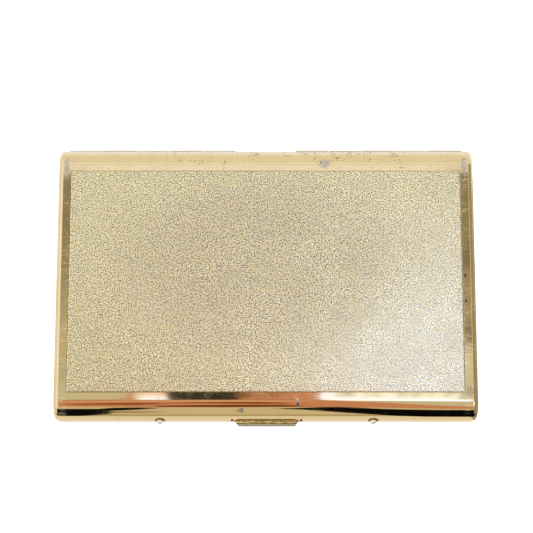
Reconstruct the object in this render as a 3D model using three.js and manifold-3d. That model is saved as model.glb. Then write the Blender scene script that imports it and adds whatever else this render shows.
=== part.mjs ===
// Hinged metal card case: a drawn lid and base with stippled inlay panels, two pin hinges at the back,
// a sprung thumb latch at the front, inner trays and a sprung arm that holds the cards down.
// Millimetres. X runs along the case, +Y towards the hinges, +Z up. The origin is the middle of the face
// that the closed case rests on.
import * as THREE from 'three';
import * as BufferGeometryUtils from 'three/addons/utils/BufferGeometryUtils.js';
import Module from 'manifold-3d';

const wasm = await Module();
wasm.setup();

// ---- Driving dimensions ----

const CASE_LENGTH = 96; // along X
const CASE_DEPTH = 63.4; // along Y
const SHELL_HEIGHT = 10.8; // both shells closed, without the raised panels
const SHEET = 0.6; // shell sheet thickness
const EDGE_RADIUS = 4.2; // rolled long edges
const END_RADIUS = 1.2; // rounding where the ends meet the faces and the rolls
const RIM_GAP = 0.04; // each shell's rim stops this far from the parting plane

const PANEL_LENGTH = 89.9;
const PANEL_DEPTH = 51.5;
const PANEL_THICKNESS = 0.3;
const PANEL_PROUD = 0.15; // how far a panel stands above its shell
const PANEL_EDGE_GAP = 0.1;
const BOND_GAP = 0.01; // glue line, or the seat between two pieces that touch

const LINER_GAP = 0.1; // between a shell and the tray inside it
const LINER_THICKNESS = 0.3;
const LINER_BACK_GAP = 0.65; // room for the hinge leaves
const LINER_LIP = 1.2; // how far the base tray stands above the parting plane
const LINER_LIP_GAP = 0.35; // between that lip and the lid's walls
const LID_LINER_START = 2.6; // height of the lid tray's rim above the parting plane

const HINGE_START = 7; // distance of each hinge's inner end from the middle
const KNUCKLE_PITCH = 7.8;
const KNUCKLE_COUNT = 5;
const KNUCKLE_GAP = 0.1;
const BASE_KNUCKLE_RADIUS = 0.58;
const LID_KNUCKLE_RADIUS = 0.52;
const HINGE_BORE_RADIUS = 0.28;
const HINGE_PIN_RADIUS = 0.25;
const HINGE_OFFSET = 0.05; // hinge axis outside the back wall's outer face
const LEAF_THICKNESS = 0.28;
const LEAF_WALL_GAP = 0.08; // between a leaf and the back wall it is soldered to
const LEAF_FAR_EDGE = 1.9; // distances of the leaf's edges from the parting plane
const LEAF_NEAR_EDGE = 0.85;
const TONGUE_NEAR_EDGE = 0.2; // the tongue joins the leaf to its knuckle
const TONGUE_FAR_EDGE = 0.48;
const HINGE_CUT_RISE = 0.75; // half the height of the cut that the knuckles sit in
const HINGE_CUT_END_GAP = 0.2;
const HINGE_PIN_STICK_OUT = 0.15;

const LATCH_X = 0.2; // the latch sits a little off the middle
const RIVET_SPACING = 48.4;
const BUTTON_WIDTH = 14.7;
const BUTTON_TIP_WIDTH = 13.3;
const BUTTON_THICKNESS = 0.9;
const BUTTON_REACH = 1.25; // in front of the front wall
const BUTTON_BOTTOM = 0.1; // above the parting plane
const BUTTON_SLOT_GAP = 0.25; // beside the button
const BUTTON_TOP_GAP = 0.15; // above it
const STRIP_LENGTH = 54;
const STRIP_THICKNESS = 0.28;
const STRIP_BOTTOM = 0.15; // rises of the strip's edges above the parting plane
const STRIP_TOP = 1.95;
const STRIP_WALL_GAP = 0.08;
const RIVET_HEAD_RADIUS = 1.05;
const RIVET_HEAD_HEIGHT = 0.75;
const RIVET_SHANK_RADIUS = 0.45;
const RIVET_RISE = 1.1; // rivet centre above the parting plane

const ARM_PIN_Y = 26;
const ARM_PIN_RISE = 1.55; // pin centre above the base tray's floor
const ARM_PIN_RADIUS = 0.4;
const ARM_WIDTH = 20;
const ARM_TIP_Y = -13;
const ARM_SHEET = 0.4;
const ARM_FLOOR_GAP = 0.35; // between the resting arm and the tray floor
const BRACKET_WIDTH = 23.4;
const BRACKET_SHEET = 0.5;

// ---- Derived places ----

const HALF_LENGTH = CASE_LENGTH / 2;
const HALF_DEPTH = CASE_DEPTH / 2;
const PARTING_Z = PANEL_PROUD + SHELL_HEIGHT / 2;
const INNER_HALF_DEPTH = HALF_DEPTH - SHEET;
const INNER_HALF_HEIGHT = SHELL_HEIGHT / 2 - SHEET;
const INNER_EDGE_RADIUS = EDGE_RADIUS - SHEET;
const HINGE_Y = HALF_DEPTH + HINGE_OFFSET;
const HINGE_LENGTH = KNUCKLE_PITCH * KNUCKLE_COUNT;
const FLOOR_Z = PANEL_PROUD + SHEET + LINER_GAP + LINER_THICKNESS;
const ARM_PIN_Z = FLOOR_Z + ARM_PIN_RISE;
const STRIP_OUTER_Y = -INNER_HALF_DEPTH + STRIP_WALL_GAP;
const STRIP_INNER_Y = STRIP_OUTER_Y + STRIP_THICKNESS;

const FAR = 100; // longer than the case: cutters that must reach past it

// ---- Solids ----

function solidOf(geometry) {
  const bare = geometry.index ? geometry.toNonIndexed() : geometry.clone();
  bare.deleteAttribute('normal');
  bare.deleteAttribute('uv');
  const merged = BufferGeometryUtils.mergeVertices(bare, 1e-5);
  const mesh = new wasm.Mesh({
    numProp: 3,
    vertProperties: new Float32Array(merged.attributes.position.array),
    triVerts: new Uint32Array(merged.index.array),
  });
  return new wasm.Manifold(mesh);
}

function geometryOf(solid) {
  const mesh = solid.getMesh();
  const geometry = new THREE.BufferGeometry();
  geometry.setAttribute('position', new THREE.BufferAttribute(new Float32Array(mesh.vertProperties), 3));
  geometry.setIndex(new THREE.BufferAttribute(new Uint32Array(mesh.triVerts), 1));
  geometry.computeVertexNormals();
  return geometry;
}

// A box between two corners, each given as [x, y, z].
function boxBetween(low, high) {
  const size = high.map((value, axis) => value - low[axis]);
  const geometry = new THREE.BoxGeometry(...size);
  geometry.translate(...high.map((value, axis) => (value + low[axis]) / 2));
  return solidOf(geometry);
}

// Turns a geometry drawn in XY and extruded along Z so that its X lies on Y, its Y on Z and its depth on X.
function layAlongX(geometry) {
  const turn = new THREE.Matrix4().makeBasis(
    new THREE.Vector3(0, 1, 0),
    new THREE.Vector3(0, 0, 1),
    new THREE.Vector3(1, 0, 0),
  );
  return geometry.applyMatrix4(turn);
}

// A cylinder along X, centred on (y, z), between two x values.
function rodAlongX(radius, xLow, xHigh, y, z, sides = 24) {
  const geometry = new THREE.CylinderGeometry(radius, radius, xHigh - xLow, sides);
  geometry.rotateZ(Math.PI / 2);
  geometry.translate((xLow + xHigh) / 2, y, z);
  return solidOf(geometry);
}

// A section drawn as [y, z] points, carried along X between two x values.
function barAlongX(points, xLow, xHigh) {
  const shape = new THREE.Shape(points.map(([y, z]) => new THREE.Vector2(y, z)));
  const geometry = new THREE.ExtrudeGeometry(shape, { depth: xHigh - xLow, bevelEnabled: false, steps: 1 });
  layAlongX(geometry);
  geometry.translate(xLow, 0, 0);
  return solidOf(geometry);
}

// The closed case's form: a section with four round corners, carried along X, with every edge of both end
// faces rounded. The back and front faces can stand at different distances.
function pillow({ halfLength, front, back, halfHeight, cornerRadius, endRadius }) {
  const shape = new THREE.Shape();
  const r = cornerRadius;
  shape.moveTo(front + r, -halfHeight);
  shape.lineTo(back - r, -halfHeight);
  shape.absarc(back - r, -halfHeight + r, r, -Math.PI / 2, 0, false);
  shape.lineTo(back, halfHeight - r);
  shape.absarc(back - r, halfHeight - r, r, 0, Math.PI / 2, false);
  shape.lineTo(front + r, halfHeight);
  shape.absarc(front + r, halfHeight - r, r, Math.PI / 2, Math.PI, false);
  shape.lineTo(front, -halfHeight + r);
  shape.absarc(front + r, -halfHeight + r, r, Math.PI, 1.5 * Math.PI, false);
  const length = 2 * (halfLength - endRadius);
  const geometry = new THREE.ExtrudeGeometry(shape, {
    depth: length,
    steps: 1,
    curveSegments: 9,
    bevelEnabled: true,
    bevelThickness: endRadius,
    bevelSize: endRadius,
    bevelOffset: -endRadius,
    bevelSegments: 4,
  });
  layAlongX(geometry);
  geometry.translate(-length / 2, 0, PARTING_Z);
  return solidOf(geometry);
}

// Keeps what lies between two heights above the parting plane.
function slice(solid, riseLow, riseHigh) {
  return solid.intersect(boxBetween([-FAR, -FAR, PARTING_Z + riseLow], [FAR, FAR, PARTING_Z + riseHigh]));
}

function joined(solids) {
  return solids.reduce((whole, next) => whole.add(next));
}

// ---- Shells and panels ----

function shellBody() {
  const outer = pillow({
    halfLength: HALF_LENGTH,
    front: -HALF_DEPTH,
    back: HALF_DEPTH,
    halfHeight: SHELL_HEIGHT / 2,
    cornerRadius: EDGE_RADIUS,
    endRadius: END_RADIUS,
  });
  const inner = pillow({
    halfLength: HALF_LENGTH - SHEET,
    front: -INNER_HALF_DEPTH,
    back: INNER_HALF_DEPTH,
    halfHeight: INNER_HALF_HEIGHT,
    cornerRadius: INNER_EDGE_RADIUS,
    endRadius: END_RADIUS - SHEET,
  });
  return outer.subtract(inner);
}

function panelBlock(edgeGap, zLow, zHigh) {
  const x = PANEL_LENGTH / 2 + edgeGap;
  const y = PANEL_DEPTH / 2 + edgeGap;
  return boxBetween([-x, -y, zLow], [x, y, zHigh]);
}

// The cut in both shells' back rims that the knuckles sit in.
function hingeCut(side) {
  const near = HINGE_START - HINGE_CUT_END_GAP;
  const far = HINGE_START + HINGE_LENGTH + HINGE_CUT_END_GAP;
  const rise = HINGE_CUT_RISE;
  const [xLow, xHigh] = side < 0 ? [-far, -near] : [near, far];
  return boxBetween([xLow, INNER_HALF_DEPTH - 0.2, PARTING_Z - rise], [xHigh, HALF_DEPTH + 1, PARTING_Z + rise]);
}

const PANEL_SEAT = PANEL_THICKNESS + BOND_GAP;
const TOP_Z = 2 * PARTING_Z;

function baseShell() {
  return slice(shellBody(), -FAR / 2, -RIM_GAP)
    .subtract(panelBlock(PANEL_EDGE_GAP, -1, PANEL_SEAT))
    .subtract(hingeCut(-1))
    .subtract(hingeCut(1));
}

function rivetHole(x) {
  const radius = RIVET_SHANK_RADIUS + 0.05;
  const geometry = new THREE.CylinderGeometry(radius, radius, 4, 20);
  geometry.translate(x, -HALF_DEPTH + 1, PARTING_Z + RIVET_RISE);
  return solidOf(geometry);
}

const rivetXs = [-1, 1].map((side) => LATCH_X + (side * RIVET_SPACING) / 2);

// The notch in the lid's front rim that the thumb button comes through.
function buttonSlot() {
  const half = BUTTON_WIDTH / 2 + BUTTON_SLOT_GAP;
  const top = PARTING_Z + BUTTON_BOTTOM + BUTTON_THICKNESS + BUTTON_TOP_GAP;
  return boxBetween([LATCH_X - half, -HALF_DEPTH - 1, 0], [LATCH_X + half, -INNER_HALF_DEPTH + 0.2, top]);
}

function lidShell() {
  return slice(shellBody(), RIM_GAP, FAR / 2)
    .subtract(panelBlock(PANEL_EDGE_GAP, TOP_Z - PANEL_SEAT, TOP_Z + 1))
    .subtract(hingeCut(-1))
    .subtract(hingeCut(1))
    .subtract(buttonSlot())
    .subtract(rivetHole(rivetXs[0]))
    .subtract(rivetHole(rivetXs[1]));
}

// ---- Trays inside the shells ----

// A tray's form lies inside the shell's inner faces by the gaps given for its ends, front and back.
function trayBody(endGap, frontGap, backGap, flatGap) {
  const layer = (inset) => pillow({
    halfLength: HALF_LENGTH - SHEET - endGap - inset,
    front: -INNER_HALF_DEPTH + frontGap + inset,
    back: INNER_HALF_DEPTH - backGap - inset,
    halfHeight: INNER_HALF_HEIGHT - flatGap - inset,
    cornerRadius: INNER_EDGE_RADIUS - flatGap - inset,
    endRadius: 0.5,
  });
  return layer(0).subtract(layer(LINER_THICKNESS));
}

function baseLiner() {
  const tray = slice(trayBody(LINER_LIP_GAP, LINER_LIP_GAP, LINER_BACK_GAP, LINER_GAP), -FAR / 2, LINER_LIP);
  const front = -INNER_HALF_DEPTH;
  const stripRoom = boxBetween(
    [LATCH_X - STRIP_LENGTH / 2 - 1, front - 1, PARTING_Z - 0.3],
    [LATCH_X + STRIP_LENGTH / 2 + 1, front + 3, PARTING_Z + 5],
  );
  const hookRoom = boxBetween(
    [LATCH_X - BUTTON_WIDTH / 2 - 0.8, front - 1, PARTING_Z - 2.6],
    [LATCH_X + BUTTON_WIDTH / 2 + 0.8, front + 3, PARTING_Z + 5],
  );
  return tray
    .subtract(stripRoom)
    .subtract(hookRoom)
    .subtract(bracketRivetHole(-1))
    .subtract(bracketRivetHole(1));
}

function lidLiner() {
  return slice(trayBody(LINER_GAP, LINER_GAP, LINER_GAP, LINER_GAP), LID_LINER_START, FAR / 2);
}

// ---- Hinges ----

// One leaf with its rolled knuckles. side: -1 left, 1 right. up: 1 for the lid's leaf, -1 for the base's.
// Knuckles are numbered from the left end of the hinge, and a leaf has the odd ones or the even ones.
function hingeLeaf(side, up, radius, takesOdd) {
  const xStart = side < 0 ? -HINGE_START - HINGE_LENGTH : HINGE_START;
  const outerY = INNER_HALF_DEPTH - LEAF_WALL_GAP;
  const innerY = outerY - LEAF_THICKNESS;
  const between = (xLow, xHigh, yLow, yHigh, riseLow, riseHigh) => {
    const heights = [PARTING_Z + up * riseLow, PARTING_Z + up * riseHigh].sort((a, b) => a - b);
    return boxBetween([xLow, yLow, heights[0]], [xHigh, yHigh, heights[1]]);
  };
  const tongueY = HINGE_Y - (BASE_KNUCKLE_RADIUS + HINGE_BORE_RADIUS) / 2 + 0.07;
  const pieces = [between(xStart, xStart + HINGE_LENGTH, innerY, outerY, LEAF_NEAR_EDGE, LEAF_FAR_EDGE)];
  const bores = [];
  for (let number = 0; number < KNUCKLE_COUNT; number += 1) {
    const isOdd = number % 2 === 0;
    if (isOdd !== takesOdd) continue;
    const xLow = xStart + number * KNUCKLE_PITCH + KNUCKLE_GAP / 2;
    const xHigh = xLow + KNUCKLE_PITCH - KNUCKLE_GAP;
    pieces.push(rodAlongX(radius, xLow, xHigh, HINGE_Y, PARTING_Z));
    pieces.push(between(xLow, xHigh, innerY, outerY, TONGUE_NEAR_EDGE, LEAF_NEAR_EDGE + 0.15));
    pieces.push(between(xLow, xHigh, innerY, tongueY, TONGUE_NEAR_EDGE, TONGUE_FAR_EDGE));
    bores.push(rodAlongX(HINGE_BORE_RADIUS, xLow - 1, xHigh + 1, HINGE_Y, PARTING_Z));
  }
  return bores.reduce((leaf, bore) => leaf.subtract(bore), joined(pieces));
}

function hingePin(side) {
  const near = HINGE_START - HINGE_PIN_STICK_OUT;
  const far = HINGE_START + HINGE_LENGTH + HINGE_PIN_STICK_OUT;
  const [xLow, xHigh] = side < 0 ? [-far, -near] : [near, far];
  return rodAlongX(HINGE_PIN_RADIUS, xLow, xHigh, HINGE_Y, PARTING_Z);
}

// ---- Latch ----

const HOOK_WIDTH = 8;
const KEEPER_WIDTH = 12;
const SHELF_TOP = -0.6; // rises of the keeper's shelf, from the parting plane
const SHELF_BOTTOM = -0.9;
const SHELF_REACH = 0.8; // how far the shelf stands in from the front wall
const HOOK_LEG_Y = -INNER_HALF_DEPTH + SHELF_REACH + 0.05;
const HOOK_LEG_THICKNESS = 0.35;
const HOOK_CATCH = 0.3; // how far the hook reaches under the shelf

// A flat spring strip against the lid's front wall, notched from below where the button passes.
function latchSpring() {
  const half = STRIP_LENGTH / 2;
  const strip = boxBetween(
    [LATCH_X - half, STRIP_OUTER_Y, PARTING_Z + STRIP_BOTTOM],
    [LATCH_X + half, STRIP_INNER_Y, PARTING_Z + STRIP_TOP],
  );
  const notchHalf = BUTTON_WIDTH / 2 + 0.4;
  const notch = boxBetween(
    [LATCH_X - notchHalf, -FAR, 0],
    [LATCH_X + notchHalf, FAR, PARTING_Z + BUTTON_BOTTOM + BUTTON_THICKNESS + BUTTON_TOP_GAP],
  );
  return strip
    .subtract(notch)
    .subtract(rivetHole(rivetXs[0]))
    .subtract(rivetHole(rivetXs[1]));
}

// The thumb button: a trapezoid tab in front of the wall, a plate through the slot, and a hook behind it.
function latchButton() {
  const round = 0.2;
  const rootHalf = BUTTON_WIDTH / 2;
  const tipHalf = BUTTON_TIP_WIDTH / 2;
  const wallY = -HALF_DEPTH;
  const tipY = wallY - BUTTON_REACH;
  const backY = HOOK_LEG_Y + HOOK_LEG_THICKNESS;
  const outline = new THREE.Shape();
  outline.moveTo(-rootHalf, backY);
  outline.lineTo(-rootHalf, wallY);
  outline.quadraticCurveTo(-rootHalf + 0.1, tipY, -tipHalf + 0.3, tipY);
  outline.lineTo(tipHalf - 0.3, tipY);
  outline.quadraticCurveTo(rootHalf - 0.1, tipY, rootHalf, wallY);
  outline.lineTo(rootHalf, backY);
  const geometry = new THREE.ExtrudeGeometry(outline, {
    depth: BUTTON_THICKNESS - 2 * round,
    steps: 1,
    curveSegments: 6,
    bevelEnabled: true,
    bevelThickness: round,
    bevelSize: round,
    bevelOffset: -round,
    bevelSegments: 3,
  });
  geometry.translate(LATCH_X, 0, PARTING_Z + BUTTON_BOTTOM + round);
  const tab = solidOf(geometry);
  const hookTop = PARTING_Z + BUTTON_BOTTOM + BUTTON_THICKNESS / 2;
  const catchTop = PARTING_Z + SHELF_BOTTOM - 0.08;
  const catchTip = HOOK_LEG_Y - HOOK_CATCH - 0.05;
  const hook = barAlongX(
    [
      [HOOK_LEG_Y, hookTop],
      [HOOK_LEG_Y, catchTop],
      [catchTip, catchTop],
      [catchTip, catchTop - 0.15],
      [HOOK_LEG_Y, catchTop - 0.65],
      [backY - 0.02, catchTop - 0.65],
      [backY - 0.02, hookTop],
    ],
    LATCH_X - HOOK_WIDTH / 2,
    LATCH_X + HOOK_WIDTH / 2,
  );
  return tab.add(hook);
}

// The catch plate on the base's front wall: a flange against the wall and a shelf that the hook goes under.
function keeper() {
  const wallY = -INNER_HALF_DEPTH + 0.02;
  const flangeY = wallY + 0.28;
  const shelfY = -INNER_HALF_DEPTH + SHELF_REACH;
  return barAlongX(
    [
      [wallY, PARTING_Z - 1.2],
      [flangeY, PARTING_Z - 1.2],
      [flangeY, PARTING_Z + SHELF_BOTTOM],
      [shelfY, PARTING_Z + SHELF_BOTTOM],
      [shelfY, PARTING_Z + SHELF_TOP],
      [flangeY, PARTING_Z + SHELF_TOP],
      [flangeY, PARTING_Z - 0.12],
      [wallY, PARTING_Z - 0.12],
    ],
    LATCH_X - KEEPER_WIDTH / 2,
    LATCH_X + KEEPER_WIDTH / 2,
  );
}

// A domed rivet turned on its own axis: a spherical head, a shank, and a flat tail behind the strip.
function latchRivet(x) {
  const headBase = BOND_GAP;
  const shankEnd = -(STRIP_INNER_Y + HALF_DEPTH) - BOND_GAP;
  const tailRadius = 0.8;
  const tailEnd = shankEnd - 0.25;
  const sphereRadius = (RIVET_HEAD_RADIUS ** 2 + RIVET_HEAD_HEIGHT ** 2) / (2 * RIVET_HEAD_HEIGHT);
  const halfAngle = Math.asin(Math.min(1, RIVET_HEAD_RADIUS / sphereRadius));
  const profile = [
    new THREE.Vector2(0, tailEnd),
    new THREE.Vector2(tailRadius, tailEnd),
    new THREE.Vector2(tailRadius, shankEnd),
    new THREE.Vector2(RIVET_SHANK_RADIUS, shankEnd),
    new THREE.Vector2(RIVET_SHANK_RADIUS, headBase),
  ];
  const steps = 6;
  for (let step = 0; step <= steps; step += 1) {
    const angle = halfAngle * (1 - step / steps);
    const rise = headBase + RIVET_HEAD_HEIGHT - sphereRadius + sphereRadius * Math.cos(angle);
    profile.push(new THREE.Vector2(step === steps ? 0 : sphereRadius * Math.sin(angle), rise));
  }
  const geometry = new THREE.LatheGeometry(profile, 20);
  geometry.rotateX(Math.PI);
  geometry.translate(x, -HALF_DEPTH, PARTING_Z + RIVET_RISE);
  return solidOf(geometry);
}

// ---- Card arm ----

const LUG_INNER_X = 8.4;
const ARM_LUG_RADIUS = 0.75;
const EAR_RADIUS = 0.9;
const BRACKET_Y_FRONT = 24.1;
const BRACKET_Y_BACK = 26.7;
const BRACKET_RIVET_X = 5.5;
const BRACKET_RIVET_Y = 25.1;
const BRACKET_PLATE = 0.3;

function bracketRivetHole(side) {
  const geometry = new THREE.CylinderGeometry(0.5, 0.5, 1.8, 16);
  geometry.rotateX(Math.PI / 2);
  geometry.translate(side * BRACKET_RIVET_X, BRACKET_RIVET_Y, FLOOR_Z);
  return solidOf(geometry);
}

// A plate on the tray floor with an ear at each end that holds the arm's pin.
function armBracket() {
  const half = BRACKET_WIDTH / 2;
  const bottom = FLOOR_Z + BOND_GAP;
  const plate = boxBetween([-half, BRACKET_Y_FRONT, bottom], [half, BRACKET_Y_BACK, bottom + BRACKET_PLATE]);
  const ears = [-1, 1].map((side) => {
    const [xLow, xHigh] = side < 0 ? [-half, -half + BRACKET_SHEET] : [half - BRACKET_SHEET, half];
    const block = boxBetween([xLow, ARM_PIN_Y - EAR_RADIUS, bottom], [xHigh, BRACKET_Y_BACK, ARM_PIN_Z]);
    return block.add(rodAlongX(EAR_RADIUS, xLow, xHigh, ARM_PIN_Y, ARM_PIN_Z));
  });
  return joined([plate, ...ears])
    .subtract(rodAlongX(ARM_PIN_RADIUS + 0.01, -FAR, FAR, ARM_PIN_Y, ARM_PIN_Z))
    .subtract(bracketRivetHole(-1))
    .subtract(bracketRivetHole(1));
}

function bracketRivet(side) {
  const headBase = BRACKET_PLATE + 2 * BOND_GAP;
  const profile = [
    [0, -LINER_THICKNESS],
    [0.42, -LINER_THICKNESS],
    [0.42, headBase],
    [0.8, headBase],
    [0.72, headBase + 0.2],
    [0.42, headBase + 0.33],
    [0, headBase + 0.38],
  ].map(([radius, rise]) => new THREE.Vector2(radius, rise));
  const geometry = new THREE.LatheGeometry(profile, 16);
  geometry.rotateX(Math.PI / 2);
  geometry.translate(side * BRACKET_RIVET_X, BRACKET_RIVET_Y, FLOOR_Z);
  return solidOf(geometry);
}

function armPin() {
  const half = BRACKET_WIDTH / 2 + 0.2;
  return rodAlongX(ARM_PIN_RADIUS, -half, half, ARM_PIN_Y, ARM_PIN_Z);
}

// A sheet frame: two lugs round the pin, a web, two long legs and a cross bar with a turned-up tip.
function cardArm() {
  const half = ARM_WIDTH / 2;
  const restZ = FLOOR_Z + ARM_FLOOR_GAP;
  const bendY = 21.8;
  const webY = 19.4;
  const crossY = ARM_TIP_Y + 5;
  const sheet = barAlongX(
    [
      [ARM_PIN_Y - 0.35, ARM_PIN_Z - 0.3],
      [bendY, restZ],
      [ARM_TIP_Y + 1.6, restZ],
      [ARM_TIP_Y, restZ + 0.6],
      [ARM_TIP_Y, restZ + 0.6 + ARM_SHEET],
      [ARM_TIP_Y + 1.7, restZ + ARM_SHEET],
      [bendY + 0.1, restZ + ARM_SHEET],
      [ARM_PIN_Y - 0.35, ARM_PIN_Z + 0.15],
    ],
    -half,
    half,
  );
  const lugs = [-1, 1].map((side) => {
    const [xLow, xHigh] = side < 0 ? [-half, -LUG_INNER_X] : [LUG_INNER_X, half];
    return rodAlongX(ARM_LUG_RADIUS, xLow, xHigh, ARM_PIN_Y, ARM_PIN_Z);
  });
  const springRoom = boxBetween([-LUG_INNER_X, ARM_PIN_Y - 2.2, 0], [LUG_INNER_X, FAR, FAR]);
  const windowHalf = half - 2.6;
  const window = boxBetween([-windowHalf, crossY, 0], [windowHalf, webY, FAR]);
  const bore = rodAlongX(ARM_PIN_RADIUS + 0.05, -FAR, FAR, ARM_PIN_Y, ARM_PIN_Z);
  return joined([sheet.subtract(springRoom).subtract(window), ...lugs]).subtract(bore);
}

// A torsion spring wound on the pin, one tail on the arm's web and the other above the tray floor.
class SpringPath extends THREE.Curve {
  constructor(points) {
    super();
    this.inner = new THREE.CatmullRomCurve3(points, false, 'centripetal');
  }

  getPoint(t, target = new THREE.Vector3()) {
    return this.inner.getPoint(t, target);
  }
}

function armSpring() {
  const coilRadius = 0.72;
  const wireRadius = 0.14;
  const turns = 5;
  const pitch = 0.42;
  const stepsPerTurn = 12;
  const halfWidth = (turns * pitch) / 2;
  const points = [];
  const tailZ = FLOOR_Z + ARM_FLOOR_GAP + ARM_SHEET + wireRadius + 0.08;
  points.push(new THREE.Vector3(-halfWidth - 0.1, ARM_PIN_Y - 4.3, tailZ));
  points.push(new THREE.Vector3(-halfWidth - 0.1, ARM_PIN_Y - 2.4, ARM_PIN_Z + 0.12));
  for (let step = 0; step <= turns * stepsPerTurn; step += 1) {
    const angle = Math.PI / 2 - (2 * Math.PI * step) / stepsPerTurn;
    const x = -halfWidth + (pitch * step) / stepsPerTurn;
    const y = ARM_PIN_Y + coilRadius * Math.cos(angle);
    const z = ARM_PIN_Z + coilRadius * Math.sin(angle);
    points.push(new THREE.Vector3(x, y, z));
  }
  const wire = new THREE.Shape();
  wire.absarc(0, 0, wireRadius, 0, 2 * Math.PI, false);
  const geometry = new THREE.ExtrudeGeometry(wire, {
    steps: 90,
    curveSegments: 4,
    bevelEnabled: false,
    extrudePath: new SpringPath(points),
  });
  return solidOf(geometry);
}

// ---- Materials and assembly ----

const polishedGold = { color: 0xe6cd9a, roughness: 0.12, metalness: 1 };
const stippledGold = { color: 0xd7cdaa, roughness: 0.45, metalness: 1 };
const linerGold = { color: 0xd9c38d, roughness: 0.3, metalness: 1 };
const wornBrass = { color: 0xa8935a, roughness: 0.4, metalness: 1 };
const steel = { color: 0xc9c8c2, roughness: 0.25, metalness: 1 };
const springSteel = { color: 0x8f9094, roughness: 0.35, metalness: 1 };

function part(name, solid, look) {
  const mesh = new THREE.Mesh(geometryOf(solid), new THREE.MeshStandardMaterial(look));
  mesh.name = name;
  return mesh;
}

const baseGroup = new THREE.Group();
baseGroup.add(
  part('base_shell', baseShell(), polishedGold),
  part('base_panel', panelBlock(0, 0, PANEL_THICKNESS), stippledGold),
  part('base_liner', baseLiner(), linerGold),
  part('keeper', keeper(), steel),
  part('hinge_base_left', hingeLeaf(-1, -1, BASE_KNUCKLE_RADIUS, false), polishedGold),
  part('hinge_base_right', hingeLeaf(1, -1, BASE_KNUCKLE_RADIUS, true), polishedGold),
  part('hinge_pin_left', hingePin(-1), steel),
  part('hinge_pin_right', hingePin(1), steel),
  part('arm_bracket', armBracket(), linerGold),
  part('bracket_rivet_left', bracketRivet(-1), steel),
  part('bracket_rivet_right', bracketRivet(1), steel),
  part('arm_pin', armPin(), steel),
);

const lidGroup = new THREE.Group();
lidGroup.add(
  part('lid_shell', lidShell(), polishedGold),
  part('lid_panel', panelBlock(0, TOP_Z - PANEL_THICKNESS, TOP_Z), stippledGold),
  part('lid_liner', lidLiner(), linerGold),
  part('hinge_lid_left', hingeLeaf(-1, 1, LID_KNUCKLE_RADIUS, true), polishedGold),
  part('hinge_lid_right', hingeLeaf(1, 1, LID_KNUCKLE_RADIUS, false), polishedGold),
  part('latch_spring', latchSpring(), springSteel),
  part('latch_rivet_left', latchRivet(rivetXs[0]), steel),
  part('latch_rivet_right', latchRivet(rivetXs[1]), steel),
  part('latch_button', latchButton(), wornBrass),
);

const armGroup = new THREE.Group();
armGroup.add(
  part('card_arm', cardArm(), linerGold),
  part('arm_spring', armSpring(), springSteel),
);

const cardCase = new THREE.Group();
cardCase.add(baseGroup, lidGroup, armGroup);

export default cardCase;
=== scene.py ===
"""Looks of the hinged metal card case: drawn shells, stippled panels, latch, hinges and inside fittings."""

from math import asin, ceil, cos, degrees, pi, radians, sin

import bmesh
import bpy
import numpy as np
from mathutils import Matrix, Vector


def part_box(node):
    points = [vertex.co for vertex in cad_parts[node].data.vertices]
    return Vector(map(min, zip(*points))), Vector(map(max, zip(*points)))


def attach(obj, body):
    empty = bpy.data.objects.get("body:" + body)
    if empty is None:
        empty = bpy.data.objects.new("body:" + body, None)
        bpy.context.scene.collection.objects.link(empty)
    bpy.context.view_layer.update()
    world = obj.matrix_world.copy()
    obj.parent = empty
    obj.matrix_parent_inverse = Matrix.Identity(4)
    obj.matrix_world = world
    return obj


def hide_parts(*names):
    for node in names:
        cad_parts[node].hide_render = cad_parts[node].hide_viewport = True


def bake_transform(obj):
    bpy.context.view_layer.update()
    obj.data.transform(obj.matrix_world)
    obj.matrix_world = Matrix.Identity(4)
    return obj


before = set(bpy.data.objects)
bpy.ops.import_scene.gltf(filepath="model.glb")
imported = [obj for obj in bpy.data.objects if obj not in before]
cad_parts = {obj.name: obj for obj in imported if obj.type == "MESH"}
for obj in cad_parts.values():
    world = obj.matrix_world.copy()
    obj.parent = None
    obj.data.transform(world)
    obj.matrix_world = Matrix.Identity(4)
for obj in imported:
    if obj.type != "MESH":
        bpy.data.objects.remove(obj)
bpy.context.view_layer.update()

MM = 0.001

# ---- Places and sizes, in millimetres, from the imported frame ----


def box_mm(node):
    """Lowest and highest corner of a CAD node, in millimetres."""
    low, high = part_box(node)
    return Vector(low) / MM, Vector(high) / MM


LID_LOW, LID_HIGH = box_mm("lid_shell")
HALF_LENGTH = LID_HIGH.x
HALF_DEPTH = LID_HIGH.y
PARTING_Z = (LID_LOW.z + box_mm("base_shell")[1].z) / 2
RIM_GAP = LID_LOW.z - PARTING_Z
HALF_HEIGHT = LID_HIGH.z - PARTING_Z
SHEET = 0.6
EDGE_RADIUS = 4.2
END_RADIUS = 1.2
PANEL_LOW, PANEL_HIGH = box_mm("lid_panel")
PANEL_EDGE_GAP = 0.1
PANEL_PROUD = PANEL_HIGH.z - LID_HIGH.z
BUTTON_LOW, BUTTON_HIGH = box_mm("latch_button")
BUTTON_HALF = (BUTTON_HIGH.x - BUTTON_LOW.x) / 2
LATCH_X = (BUTTON_LOW.x + BUTTON_HIGH.x) / 2
SLOT_HALF = BUTTON_HALF + 0.4
SLOT_TOP = BUTTON_HIGH.z + 0.15
HINGE_Y = HALF_DEPTH + 0.05
ARC_STEPS = 40
CORNER_STEPS = 8
ALONG_X = (1, 0, 0)

# ---- Mesh helpers: everything is drawn in millimetres and stored in metres ----


def new_object(name, mesh):
    made = bpy.data.objects.new(name, mesh)
    bpy.context.scene.collection.objects.link(made)
    return made


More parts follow.
